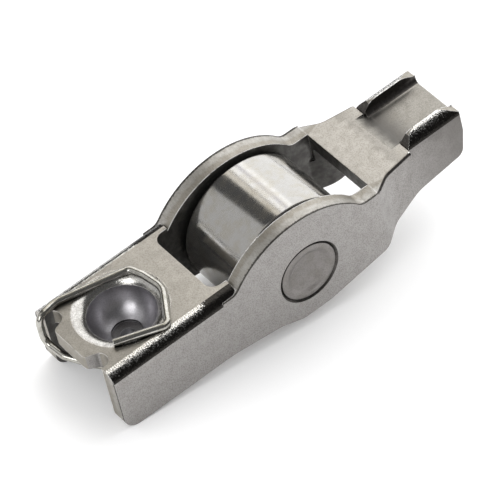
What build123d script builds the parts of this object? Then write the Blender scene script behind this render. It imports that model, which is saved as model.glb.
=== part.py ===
from build123d import *
import os
from math import asin, atan2, cos, degrees, hypot, pi, radians, sin, sqrt

# Roller finger follower, the stamped-steel rocker arm of an overhead-cam engine.
#
# The pieces are drawn in the arm's own frame: the roller's axle centre is the
# zero point, X runs from the pivot end to the valve end, Y runs across the arm
# and Z stands square to the web.  The socket's mouth, the valve pad and the
# guide ears face up.  The finished pieces are then laid down as the loose arm
# rests, on the roller and the two wall tips of the pivot end, with the centre
# of the ball socket as the zero point.  All lengths are in millimetres.

# ---------------------------------------------------------------- roller
roller_dia = 17.5
roller_side_gap = 0.6  # from each roller face to the wall beside it
roller_edge = 0.35  # rounding of the running surface's two rims
pin_dia = 8.2
pin_chamfer = 0.3
pin_recess = 0.05  # from each wall's face to the pin's end
dish_rim = 0.8  # flat ring left round the dished ends of the pin
dish_side = 0.5  # width of the dish's sloping side
dish_depth = 0.3
needle_dia = 1.5
needle_end_gap = 0.15  # from each needle end to the roller's face
running_gap = 0.01  # radial play on each side of the needles
needle_spacing = 0.005  # least play between two needles

# ----------------------------------------------------------- pressed sheet
sheet = 2.2
channel_width = 16.1  # over the walls at the pivot end and the roller
nose_width = 11.46  # over the walls at the valve pad
bend_outside = 1.8
bend_inside = 0.4
nose_bend = 0.45  # the valve end's folds are coined almost sharp

# -------------------------------------------------------------------- web
pivot_web_height = 5.33  # above the axle
valve_web_drop = 0.88  # from the pivot end's web down to the valve end's web
pad_drop = 0.55  # from the valve end's web down to the pad
pivot_window_gap = 3.55  # from the roller to the web, towards the pivot
valve_window_gap = 2.95  # from the roller to the web, towards the valve
window_corner = 1.4
step_start = 17.3  # along X, the pressed step from web to pad
step_length = 1.9
step_lap = 0.6  # of the valve end's web that is drawn with the step
step_round = 1.2
nose_reach = 26.8  # along X, the end of the pad and the ears

# ------------------------------------------------------------------ walls
wall_end_overhang = 7.3  # from the socket's axis to the walls' end
wall_tip = 2.0  # radius of the wall tips that the arm rests on
skirt_depth = 4.6  # below the axle, at the pivot end
lug_land = 2.75  # steel under the pin
lug_length = 4.2  # flat under the pin
nose_depth = 1.55  # below the axle, at the valve end
neck_depth = 2.6  # below the axle, where the ears begin
arch_crown = 9.2  # above the axle
arch_radius = 12.4
arch_shift = -0.6  # along X
arch_root = 1.5  # concave radius where an arch runs into the folds
jog_start = 11.6  # along X, where the walls turn inwards
jog_end = 14.2
jog_share = 0.71  # of the narrowing that is done by the jog's end
jog_turn_in = 2.7
jog_turn_out = 3.0
jog_run_out = 8.0
nose_start = 18.6  # along X, where the walls run straight again
skirt_step = 1.0  # the lower edge's first fall, towards the pin's lug
skirt_step_run = 3.4  # of that fall, before the lug's flat
skirt_straight = 12.7  # along X from the axle, where the skirt is still level
skirt_ease = 12.0
skirt_turn = 5.0
lug_round = 2.5
neck_lead = 0.7  # from the lug's rise to the jog
neck_rise = 0.75  # the lower edge is still this far below the skirt there
neck_run = 2.2  # into the jog
neck_step = 1.8  # below the neck, after that run
nose_corner = 1.2

# -------------------------------------------------------------- guide ears
ear_height = 1.95  # above the pad
nose_lean = 0.17  # forward slope of the nose's end for each millimetre up
ear_tail = 0.4  # above the pad, where the ears' ends turn down
ear_round = 2.25  # the ears' tops are rolled over towards their outer faces
ear_ridge = 0.1  # the roll's crest, below the highest point of the ears
ear_inset = 0.58  # of the roll's centre, inwards from the ears' inner faces
ear_lean = 18.0  # degrees that the outer faces lean in, below the roll
ear_root = 0.9  # concave corner between pad and ear
root_lap = 0.3  # how far that corner reaches into the steel round it
ear_back = 0.2  # the ears begin this far before the walls run straight
ear_front = 0.6  # and are drawn this far past the nose, then trimmed
ear_sill = 0.5  # the rise begins this far below the valve end's web
ear_dip = 0.25  # of the top line, at the rise and before the nose

# ------------------------------------------------------------- ball socket
pivot_reach = 21.62  # from the roller's axle to the socket's axis
ball_radius = 4.4
ball_depth = 0.6  # centre of the ball below the web's top
lip_radius = 6.12
lip_flare = 2.0  # radius of the bell mouth
dome_wall = 1.9
dome_root = 2.2
cup_floor_radius = 2.0
cup_floor_depth = 0.35  # oil well pressed into the ball seat
oil_hole_dia = 1.8

# ------------------------------------------------------------------ tongue
tongue_overhang = 7.8  # from the socket's axis to the tongue's end
tongue_tip_width = 6.0
notch_width = 2.05  # between the tongue and the wall beside it
tongue_corner = 0.6
notch_depth = 1.6  # from the walls' end to the notch floor
notch_below = 2.5  # how far below the web the notch is punched

# -------------------------------------------------------------------- clip
wire_dia = 0.95
wire_lift = 0.02  # between the wire and the web
# the loop on the web: distance from the socket's axis in lip radii, and degrees
clip_loop = [(0.95, 225), (1.15, 288.2), (0.905, 343.2), (0.84, 18.1), (0.915, 41.4)]
# the hook round the tongue: back in tongue overhangs, to the side in channel
# half-widths, and down from the web in sheet thicknesses
clip_hook = [
    (0.67, 1.043, 0),
    (1.05, 0.957, 0),
    (1.075, 0.889, 1.55),
    (1.025, 0.376, 2.05),
    (0.77, -0.103, 2.45),
    (0.46, -0.547, 2.68),
]
clip_bends = [0.84, 3.15, 3.15, 1.05, 2.63, 1.26, 1.79, 1.58, 2.1]  # in wire diameters

# ----------------------------------------------------------- worked-out sizes
roller_radius = roller_dia / 2
pin_radius = pin_dia / 2
needle_radius = needle_dia / 2
needle_circle = pin_radius + running_gap + needle_radius
bore_radius = needle_circle + needle_radius + running_gap
needle_half_angle = asin((needle_radius + needle_spacing / 2) / needle_circle)
needle_count = int(pi / needle_half_angle)

inner_half = channel_width / 2 - sheet
roller_width = 2 * (inner_half - roller_side_gap)
needle_length = roller_width - 2 * needle_end_gap

web_top = pivot_web_height
valve_top = web_top - valve_web_drop
pad_top = valve_top - pad_drop
window_min = -(roller_radius + pivot_window_gap)
window_max = roller_radius + valve_window_gap

socket_x = -pivot_reach
ball_z = web_top - ball_depth
wall_end = socket_x - wall_end_overhang
tongue_end = socket_x - tongue_overhang
lug_depth = pin_radius + lug_land
ear_top = pad_top + ear_height
nose_half = nose_width / 2
pad_half = nose_half - sheet
tall = 2 * (roller_radius + arch_crown)  # longer than any cut needs
sharp = 0.01  # corner radius where an outline stays sharp
notch_floor = web_top - sheet - notch_below


def slab(x_min: float, x_max: float, z_min: float, z_max: float, half: float) -> Part:
    """A block between two X and two Z limits, half as wide as the given width."""
    size = (x_max - x_min, 2 * half, z_max - z_min)
    return Pos((x_min + x_max) / 2, 0, (z_min + z_max) / 2) * Box(*size)


def across(profile: Sketch) -> Part:
    """Run an X-Z profile right across the arm, to both sides of its middle."""
    return extrude(Plane.XZ * profile, amount=tall, both=True)


def rounded_polygon(points: list, radii: list) -> Sketch:
    """A closed outline through the points, each corner with its own radius."""
    return make_face(FilletPolyline(*points, radius=radii, close=True))


def plan(inset: float) -> Sketch:
    """Outline of the channel from above, moved inwards from its outer faces."""
    wide = channel_width / 2
    middle = wide - jog_share * (wide - nose_half)
    side = [
        (-2 * tall, wide),
        (jog_start, wide),
        (jog_end, middle),
        (nose_start, nose_half),
        (2 * tall, nose_half),
    ]
    other_side = [(x, -y) for x, y in reversed(side)]
    corners = [sharp, jog_turn_in, jog_turn_out, jog_run_out, sharp]
    outline = rounded_polygon(side + other_side, corners + corners[::-1])
    return offset(outline, amount=-inset) if inset else outline


def block(inset: float, top: float, edge: float) -> Part:
    """The plan outline as a solid, with its top edges rounded."""
    solid = Pos(0, 0, -tall) * extrude(plan(inset), amount=tall + top)
    edges = solid.edges().group_by(Axis.Z)[-1]
    return fillet(edges, edge)


def channel(x_min: float, x_max: float, top: float, bend: float) -> Part:
    """One stretch of the folded channel: a web with a wall down each side."""
    outside = block(0, top, bend)
    inside = block(sheet, top - sheet, bend_inside)
    return (outside - inside) & slab(x_min, x_max, -tall, tall, tall)


def flanks() -> Part:
    """The two upright walls without their folds, far too tall."""
    outside = Pos(0, 0, -tall) * extrude(plan(0), amount=2 * tall)
    inside = Pos(0, 0, -tall) * extrude(plan(sheet), amount=2 * tall)
    return outside - inside


def lower_outline() -> Part:
    """Everything above the sheared lower edges of the walls."""
    points = [
        (wall_end, tall),
        (wall_end, -skirt_depth),
        (-skirt_straight, -skirt_depth),
        (-lug_length / 2 - skirt_step_run, -skirt_depth - skirt_step),
        (-lug_length / 2, -lug_depth),
        (lug_length / 2, -lug_depth),
        (jog_start - neck_lead, -skirt_depth - neck_rise),
        (jog_start + neck_run, -neck_depth - neck_step),
        (nose_start, -neck_depth),
        (nose_reach - nose_lean * (pad_top + nose_depth), -nose_depth),
        (nose_reach + nose_lean * (tall - pad_top), tall),
    ]
    fall = [skirt_ease, skirt_turn, lug_round]
    radii = [sharp, wall_tip, *fall, lug_round, *reversed(fall), nose_corner, sharp]
    return across(rounded_polygon(points, radii))


def arch_outline() -> Part:
    """The arches over the roller, with concave roots where they end."""
    arch_z = arch_crown - arch_radius
    root_z = valve_top + 0.05
    circle = Pos(arch_shift, arch_z) * Circle(arch_radius)
    base = Pos((window_min + window_max) / 2, root_z - tall / 2) * Rectangle(
        window_max - window_min, tall
    )
    crown = circle & (Pos(0, tall / 2) * Rectangle(tall, tall))
    outline = base + crown
    corners = outline.vertices().filter_by(
        lambda v: abs(v.Y - root_z) < 0.01 and window_min + 0.1 < v.X < window_max - 0.1
    )
    return across(fillet(corners, arch_root))


def ear_outline() -> Part:
    """Side view of the guide ears, which stand up beside the pad."""
    start = nose_start - ear_back
    length = nose_reach - start
    end = nose_reach + ear_front
    points = [
        (start, -tall),
        (start, valve_top - ear_sill),
        (start + 0.16 * length, ear_top - 1.4 * ear_dip),
        (start + 0.48 * length, ear_top),
        (end - 0.26 * length, ear_top - ear_dip),
        (end, pad_top + ear_tail),
        (end, -tall),
    ]
    rise, crown, tail = 0.155 * length, 0.33 * length, 0.11 * length
    return across(rounded_polygon(points, [sharp, sharp, rise, crown, crown, tail, sharp]))


def pressed_walls() -> Part:
    """The side walls: plain at the pivot, arched at the roller, eared at the nose."""
    sides = flanks()
    pivot_flat = across(
        Pos((wall_end + window_min) / 2, web_top - bend_outside - tall / 2)
        * Rectangle(window_min - wall_end, tall)
    )
    return sides & (pivot_flat + arch_outline())


def guide_ears() -> Part:
    """The two ears that keep the valve tip on the pad.

    Their tops are rolled over outwards.  The top line falls towards the nose, so
    it cuts the roll there and leaves a flat.
    """
    centre = Vector(pad_half - ear_inset, ear_top - ear_ridge - ear_round)
    tilt = radians(ear_lean)
    out = Vector(cos(tilt), sin(tilt))  # square to the leaning face
    down = Vector(sin(tilt), -cos(tilt))
    touch = centre + out * ear_round
    foot = touch + down * tall
    crest = centre + Vector(0, ear_round)
    face = Line(touch, foot)
    roll = ThreePointArc(crest, centre + Vector(1, 1).normalized() * ear_round, touch)
    rest = Polyline(foot, (0, foot.Y), (0, crest.Y), crest)
    half = make_face([face.edge(), roll.edge(), *rest.edges()])
    hood = extrude(Pos(nose_start - ear_back, 0, 0) * (Plane.YZ * half), amount=tall)
    return flanks() & ear_outline() & (hood + mirror(hood, Plane.XZ))


def pad_roots() -> Part:
    """The concave corners between the pad and the ears."""
    corner = Polyline(
        (pad_half, pad_top - root_lap),
        (pad_half - ear_root, pad_top - root_lap),
        (pad_half - ear_root, pad_top),
    )
    arc = RadiusArc((pad_half - ear_root, pad_top), (pad_half, pad_top + ear_root), -ear_root)
    side = Line((pad_half, pad_top + ear_root), (pad_half, pad_top - root_lap))
    fillet_face = Plane.YZ * make_face([*corner.edges(), arc.edge(), side.edge()])
    start = step_start + step_length - root_lap
    strip = extrude(Pos(start, 0, 0) * fillet_face, amount=nose_reach + sheet - start)
    return strip + mirror(strip, Plane.XZ)


def web_step() -> Part:
    """The pressed step from the valve end's web down to the pad, and the pad."""
    points = [
        (step_start - step_lap, valve_top),
        (step_start, valve_top),
        (step_start + step_length, pad_top),
        (nose_reach + sheet, pad_top),
        (nose_reach + sheet, pad_top - sheet),
        (step_start + 0.8 * step_length, pad_top - sheet),
        (step_start - step_lap, valve_top - sheet),
    ]
    bends = [step_round, step_round]
    outline = rounded_polygon(points, [sharp, *bends, sharp, sharp, *bends])
    return extrude(Plane.XZ * outline, amount=pad_half + root_lap, both=True)


def dome() -> Part:
    """The outside of the pressed ball socket, bulging below the web."""
    outer = ball_radius + dome_wall
    under = web_top - sheet
    lap = 0.1 * sheet  # how deep the skirt lies in the web
    reach = sqrt(outer**2 - (ball_z - under) ** 2)
    foot = under - 0.6 * dome_root
    profile = Pos(0, ball_z) * Circle(outer) & Pos(outer / 2, ball_z - outer) * Rectangle(
        outer, 2 * outer
    )
    flat = Pos(outer / 2, ball_z - outer / 2) * Rectangle(outer, outer)
    ball = profile & flat
    skirt = make_face(
        Polyline(
            (0, web_top - lap),
            (reach + dome_root, web_top - lap),
            (reach + dome_root, under),
            (reach + 0.45 * dome_root, under - 0.16 * dome_root),
            (reach - 0.11 * dome_root, foot),
            (0, foot),
            close=True,
        )
    )
    solid = revolve(Plane.XZ * (ball + skirt), Axis.Z)
    between_walls = slab(socket_x - tall, window_min, -tall, tall, inner_half + 0.5)
    return (Pos(socket_x, 0, 0) * solid) & between_walls


def socket_cut() -> Part:
    """The ball seat with its bell mouth, oil well and oil hole."""
    seat = Pos(0, ball_z) * Circle(ball_radius)
    mouth_z = web_top - lip_flare
    drop = sqrt(lip_flare**2 - (lip_radius - ball_radius) ** 2)
    edge_z = mouth_z + drop
    flare_ring = Pos(lip_radius, mouth_z) * Circle(lip_flare)
    throat = Pos(lip_radius / 2, (edge_z + web_top) / 2) * Rectangle(
        lip_radius, web_top - edge_z
    )
    mouth = throat - flare_ring
    above = Pos(lip_radius / 2, web_top + sheet / 2) * Rectangle(lip_radius, sheet)
    neck = Pos(ball_radius / 2, (ball_z + edge_z) / 2) * Rectangle(
        ball_radius, edge_z - ball_z + 0.002
    )
    seat_floor = ball_z - sqrt(ball_radius**2 - cup_floor_radius**2)
    well = Pos(cup_floor_radius / 2, seat_floor) * Rectangle(
        cup_floor_radius, 2 * cup_floor_depth
    )
    hole = Pos(oil_hole_dia / 4, ball_z - ball_radius) * Rectangle(
        oil_hole_dia / 2, 2 * ball_radius
    )
    right_half = Pos(tall / 2, 0) * Rectangle(tall, 2 * tall)
    lower_seat = seat & right_half & (Pos(0, ball_z - tall / 2) * Rectangle(tall, tall))
    seat_top = Pos(tall / 2, seat_floor + tall / 2) * Rectangle(tall, tall)
    profile = (lower_seat & seat_top) + neck + mouth + above + well + hole
    return Pos(socket_x, 0, 0) * revolve(Plane.XZ * profile, Axis.Z)


def window() -> Part:
    """The punched opening in the web that the roller stands through."""
    opening = Pos((window_min + window_max) / 2, 0) * Rectangle(
        window_max - window_min, 2 * inner_half
    )
    corners = opening.vertices().group_by(Axis.X)[0]
    opening = fillet(corners, window_corner)
    return extrude(opening, amount=tall)


def end_cut() -> Part:
    """What is punched away round the tongue at the pivot end.

    A round-bottomed notch parts the tongue from the wall on each side.
    """
    floor = wall_end + notch_depth
    half = inner_half - notch_width
    notch_round = 0.49 * notch_width
    side = [
        (tongue_end, tongue_tip_width / 2),
        (floor, half),
        (floor, inner_half),
        (wall_end, inner_half),
        (wall_end, channel_width),
    ]
    other_side = [(x, -y) for x, y in reversed(side)]
    points = side + [(-tall * 2, channel_width), (-tall * 2, -channel_width)] + other_side
    corners = [tongue_corner, notch_round, notch_round, sharp, sharp, sharp]
    cut = rounded_polygon(points, corners + corners[::-1])
    return Pos(0, 0, notch_floor) * extrude(cut, amount=tall)


def pin_bore() -> Part:
    """The bore through both walls, opened out at their outer faces."""
    face = channel_width / 2
    profile = Polyline(
        (0, 0),
        (pin_radius, 0),
        (pin_radius, face - pin_chamfer),
        (pin_radius + pin_chamfer, face),
        (pin_radius + pin_chamfer, 2 * face),
        (0, 2 * face),
        close=True,
    )
    half = revolve(Plane.XY * make_face(profile), Axis.Y)
    return half + mirror(half, Plane.XZ)


def arm_body() -> Part:
    """The one-piece pressed and folded steel arm."""
    pivot_part = channel(tongue_end - sheet, window_min + sheet, web_top, bend_outside)
    valve_part = channel(window_max - sheet, nose_start, valve_top, nose_bend)
    pad_room = slab(step_start - step_lap, tall, -tall, tall, pad_half)
    body = pivot_part + (valve_part - pad_room) + pressed_walls() + guide_ears()
    body = body + web_step() + pad_roots() + dome()
    tongue_room = slab(tongue_end - sheet, wall_end + sheet / 4, notch_floor, tall, inner_half)
    body = body & (lower_outline() + tongue_room)
    return body - window() - socket_cut() - end_cut() - pin_bore()


def axle_pin() -> Part:
    """The solid pin that the needles run on, with dished ends that were staked."""
    half = channel_width / 2 - pin_recess
    dish = pin_radius - dish_rim
    quarter = Polyline(
        (0, 0),
        (pin_radius, 0),
        (pin_radius, half - pin_chamfer),
        (pin_radius - pin_chamfer, half),
        (dish, half),
        (dish - dish_side, half - dish_depth),
        (0, half - dish_depth),
        close=True,
    )
    end = revolve(Plane.XY * make_face(quarter), Axis.Y)
    return end + mirror(end, Plane.XZ)


def cam_roller() -> Part:
    """The hardened roller that the cam lobe runs on."""
    roller = Rot(90, 0, 0) * Cylinder(roller_radius, roller_width)
    rims = roller.edges().filter_by(GeomType.CIRCLE)
    roller = fillet(rims, roller_edge)
    roller = roller - Rot(90, 0, 0) * Cylinder(bore_radius, 2 * roller_width)
    return roller


def needle(number: int) -> Part:
    """One needle of the full-complement bearing, at its place round the pin."""
    angle = 360 * number / needle_count
    rod = Rot(90, 0, 0) * Cylinder(needle_radius, needle_length)
    rod = fillet(rod.edges().filter_by(GeomType.CIRCLE), 0.2)
    return Rot(0, angle, 0) * Pos(needle_circle, 0, 0) * rod


def retaining_clip() -> Part:
    """The round-wire clip that grips the ball head's neck and hooks the tongue."""
    top = web_top + wire_dia / 2 + wire_lift
    points = []
    for share, angle in clip_loop:
        across_lip = share * lip_radius
        x = socket_x + across_lip * cos(radians(angle))
        points.append((x, across_lip * sin(radians(angle)), top))
    for reach, side, drop in clip_hook:
        z = web_top - drop * sheet if drop else top
        points.append((socket_x - reach * tongue_overhang, side * inner_half, z))
    bends = [share * wire_dia for share in clip_bends]
    route = FilletPolyline(*points, radius=bends)
    section = Plane(route @ 0, z_dir=route % 0) * Circle(wire_dia / 2)
    return sweep(section, route)


def rest_tilt() -> float:
    """Angle that lays the roller and the wall tips on one flat surface."""
    tip_x = wall_end + wall_tip
    tip_z = -(skirt_depth - wall_tip)
    lean = asin((roller_radius - wall_tip) / hypot(tip_x, tip_z))
    return degrees(lean - atan2(-tip_z, -tip_x))


lay_down = Rot(0, -rest_tilt(), 0) * Pos(-socket_x, 0, -ball_z)

pieces = {
    "arm_body": arm_body(),
    "axle_pin": axle_pin(),
    "cam_roller": cam_roller(),
    "retaining_clip": retaining_clip(),
}
for number in range(needle_count):
    pieces[f"needle_{number + 1:02d}"] = needle(number)

os.makedirs("parts", exist_ok=True)
for name, piece in pieces.items():
    export_step(lay_down * piece, f"parts/{name}.step")
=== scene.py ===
"""Studio scene of a roller finger follower, the rocker arm of an overhead-cam engine.

The CAD frame is loaded first.  Each sub-assembly is then dressed by a class of
its own, which builds its mesh, gives it a procedural finish and ties it to the
CAD body that it moves with.  Lengths are in millimetres where nothing else is said.
"""

import logging
import math
from dataclasses import dataclass
from enum import Enum
from typing import Any, Iterable, Iterator, Mapping, Sequence

import bmesh
import bpy
import numpy as np
from mathutils import Matrix, Vector


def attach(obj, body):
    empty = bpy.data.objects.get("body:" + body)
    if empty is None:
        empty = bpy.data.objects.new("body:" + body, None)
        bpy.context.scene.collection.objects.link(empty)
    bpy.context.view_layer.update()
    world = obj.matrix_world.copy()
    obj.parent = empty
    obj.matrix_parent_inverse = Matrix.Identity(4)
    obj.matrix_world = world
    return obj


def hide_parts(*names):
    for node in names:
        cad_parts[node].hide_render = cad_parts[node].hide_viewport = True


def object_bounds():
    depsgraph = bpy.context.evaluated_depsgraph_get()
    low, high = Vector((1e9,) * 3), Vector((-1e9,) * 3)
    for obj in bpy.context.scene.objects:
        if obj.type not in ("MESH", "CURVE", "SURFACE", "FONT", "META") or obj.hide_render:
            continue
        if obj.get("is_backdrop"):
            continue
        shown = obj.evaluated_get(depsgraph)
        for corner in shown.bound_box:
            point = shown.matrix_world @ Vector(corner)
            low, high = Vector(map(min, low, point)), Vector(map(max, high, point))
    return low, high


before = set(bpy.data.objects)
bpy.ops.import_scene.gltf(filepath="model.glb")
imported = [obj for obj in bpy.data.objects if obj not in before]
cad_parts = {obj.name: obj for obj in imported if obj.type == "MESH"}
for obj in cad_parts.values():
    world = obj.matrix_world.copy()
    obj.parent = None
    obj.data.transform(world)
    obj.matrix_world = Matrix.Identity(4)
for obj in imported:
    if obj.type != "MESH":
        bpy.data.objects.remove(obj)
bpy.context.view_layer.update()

log = logging.getLogger("rocker_arm")

MM = 0.001

Rgb = tuple[float, float, float]
Point = tuple[float, float, float]
Pair = tuple[float, float]


# --------------------------------------------------------------------- frames
@dataclass(frozen=True)
class ArmFrame:
    """The arm's own frame, with its axle as the zero point and the web level.

    Attributes:
        tilt: Angle in degrees by which the arm leans when it lies on its back.
        reach: Distance from the axle to the ball socket, in millimetres.
        rise: Height of the ball's centre above the axle, in millimetres.
    """

    tilt: float = 8.936096556905087
    reach: float = 21.62
    rise: float = 4.73

    @property
    def to_row(self) -> Matrix:
        """Find the way from the arm's frame to the row frame.

        Returns:
            Matrix from millimetres in the arm's frame to metres in the row frame.
        """
        lean = Matrix.Rotation(-math.radians(self.tilt), 4, "Y")
        shift = Matrix.Translation((self.reach, 0, -self.rise))
        return Matrix.Scale(MM, 4) @ lean @ shift

    @property
    def lean(self) -> Pair:
        """Cosine and sine of the tilt."""
        return math.cos(math.radians(self.tilt)), math.sin(math.radians(self.tilt))

    def points(self, row: np.ndarray) -> np.ndarray:
        """Take row-frame points in metres back to the arm's frame.

        Args:
            row: Array of points, one to a line.

        Returns:
            The same points in millimetres in the arm's frame.
        """
        back = np.array(self.to_row.inverted())
        return row @ back[:3, :3].T + back[:3, 3]

    def directions(self, row: np.ndarray) -> np.ndarray:
        """Turn row-frame directions into the arm's frame.

        Args:
            row: Array of unit vectors, one to a line.

        Returns:
            The same directions in the arm's frame.
        """
        turn = np.array(self.to_row.to_3x3().normalized().inverted())
        return row @ turn.T


ARM = ArmFrame()


# --------------------------------------------------------------- node graphs
class Net:
    """A node tree that is filled through one method."""

    def __init__(self, tree: bpy.types.NodeTree) -> None:
        """Start from an empty tree.

        Args:
            tree: Shader or geometry tree to fill.
        """
        self.tree = tree
        tree.nodes.clear()

    def add(
        self,
        kind: str,
        settings: Mapping[str, Any] | None = None,
        inputs: Mapping[str | int, Any] | None = None,
    ) -> bpy.types.Node:
        """Add one node.

        Args:
            kind: Blender's type name for the node.
            settings: Properties of the node, by name.
            inputs: Constants, sockets or values for its inputs, by name,
                identifier or number.

        Returns:
            The new node.
        """
        node = self.tree.nodes.new(kind)
        for name, value in (settings or {}).items():
            setattr(node, name, value)
        for key, value in (inputs or {}).items():
            socket = self.socket(node, key)
            if isinstance(value, Num):
                value = value.socket
            if isinstance(value, bpy.types.NodeSocket):
                self.tree.links.new(value, socket)
            else:
                socket.default_value = value
        return node

    @staticmethod
    def socket(node: bpy.types.Node, key: str | int) -> bpy.types.NodeSocket:
        """Find an input by number, identifier or name.

        Args:
            node: Node that owns the input.
            key: Number, identifier or name of the input.

        Returns:
            The input socket.
        """
        if isinstance(key, int):
            return node.inputs[key]
        for socket in node.inputs:
            if socket.identifier == key and socket.enabled:
                return socket
        return node.inputs[key]


class Num:
    """A number in a shader tree that can be written into a formula."""

    def __init__(self, net: Net, socket: bpy.types.NodeSocket) -> None:
        """Wrap an output socket.

        Args:
            net: Tree that the socket belongs to.
            socket: Output that carries the number.
        """
        self.net = net
        self.socket = socket

    def math(self, operation: str, *others: Any, clamp: bool = False) -> "Num":
        """Apply one Math node, with this number first.

        Args:
            operation: Name of the Math node's operation.
            *others: The other operands.
            clamp: Whether the result is held between 0 and 1.

        Returns:
            The result.
        """
        values = {0: self, **dict(enumerate(others, 1))}
        settings = {"operation": operation, "use_clamp": clamp}
        node = self.net.add("ShaderNodeMath", settings, values)
        return Num(self.net, node.outputs[0])

    def flipped(self, operation: str, first: float) -> "Num":
        """Apply one Math node, with a plain number first.

        Args:
            operation: Name of the Math node's operation.
            first: The first operand.

        Returns:
            The result.
        """
        node = self.net.add("ShaderNodeMath", {"operation": operation}, {0: first, 1: self})
        return Num(self.net, node.outputs[0])

    def __add__(self, other: Any) -> "Num":
        """Add a number or a socket."""
        return self.math("ADD", other)

    def __radd__(self, other: float) -> "Num":
        """Add this to a plain number."""
        return self.flipped("ADD", other)

    def __sub__(self, other: Any) -> "Num":
        """Take away a number or a socket."""
        return self.math("SUBTRACT", other)

    def __rsub__(self, other: float) -> "Num":
        """Take this away from a plain number."""
        return self.flipped("SUBTRACT", other)

    def __mul__(self, other: Any) -> "Num":
        """Multiply by a number or a socket."""
        return self.math("MULTIPLY", other)

    def __rmul__(self, other: float) -> "Num":
        """Multiply a plain number by this."""
        return self.flipped("MULTIPLY", other)

    def __truediv__(self, other: Any) -> "Num":
        """Divide by a number or a socket."""
        return self.math("DIVIDE", other)

    def __rtruediv__(self, other: float) -> "Num":
        """Divide a plain number by this."""
        return self.flipped("DIVIDE", other)

    def __abs__(self) -> "Num":
        """Drop the sign."""
        return self.math("ABSOLUTE")

    def unit(self) -> "Num":
        """Hold the number between 0 and 1."""
        return self.math("ADD", 0.0, clamp=True)

    def ramp(self, low: float, high: float) -> "Num":
        """Rise smoothly from 0 at low to 1 at high.

        Args:
            low: Value where the ramp starts.
            high: Value where the ramp ends; it may be below low.

        Returns:
            The ramped number, from 0 to 1.
        """
        ends = {"From Min": low, "From Max": high, "Value": self}
        node = self.net.add("ShaderNodeMapRange", {"interpolation_type": "SMOOTHSTEP"}, ends)
        return Num(self.net, node.outputs["Result"])


# ------------------------------------------------------------------ finishes
@dataclass(frozen=True)
class Finish:
    """How one steel surface looks.

    Attributes:
        name: Name of the material.
        color: Reflectance of the clean metal, linear.
        stain: Reflectance of the darker or oilier patches.
        stain_share: How strongly the patches tint the metal.
        stain_size: Width of a patch.
        metal: Share of light that the metal mirrors; the rest it scatters.
        roughness: Mean roughness.
        rough_spread: How far the roughness wanders with the patches.
        grain: Width of the finest marks.
        grain_depth: Depth of those marks.
        grain_stretch: Stretch of the marks along X, Y and Z.
        fleck: How dark the finest marks are.
        pits: Share of the surface that small dark pits take.
        corner_shade: How dark the painted shade is in the corners, found by ambient occlusion.
        rim: How much brighter the edges with wear are; the brightening is partly painted
            highlight.
        rim_width: Radius of the rounded and brightened edges.
        burr: How much the edges with wear scatter light instead of mirroring it.
        bands: Share of the tint that runs in fine bands across the sheet.
        shaded: Soft bands of painted shade along the arm: start, end and strength.
        shadow: Color of the painted shade in those bands.
        scale: How strongly a dark reflection is painted where the sheet rolls over.
    """

    name: str
    color: Rgb
    stain: Rgb
    stain_share: float = 0.4
    stain_size: float = 3.0
    metal: float = 1.0
    roughness: float = 0.35
    rough_spread: float = 0.08
    grain: float = 0.16
    grain_depth: float = 0.004
    grain_stretch: Point = (1.0, 1.0, 1.0)
    fleck: float = 0.3
    pits: float = 0.0
    corner_shade: float = 0.75
    rim: float = 0.5
    rim_width: float = 0.12
    burr: float = 0.6
    bands: float = 0.0
    shaded: tuple[Point, ...] = ()
    shadow: Rgb = (0.2, 0.19, 0.17)
    scale: float = 0.0


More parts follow.
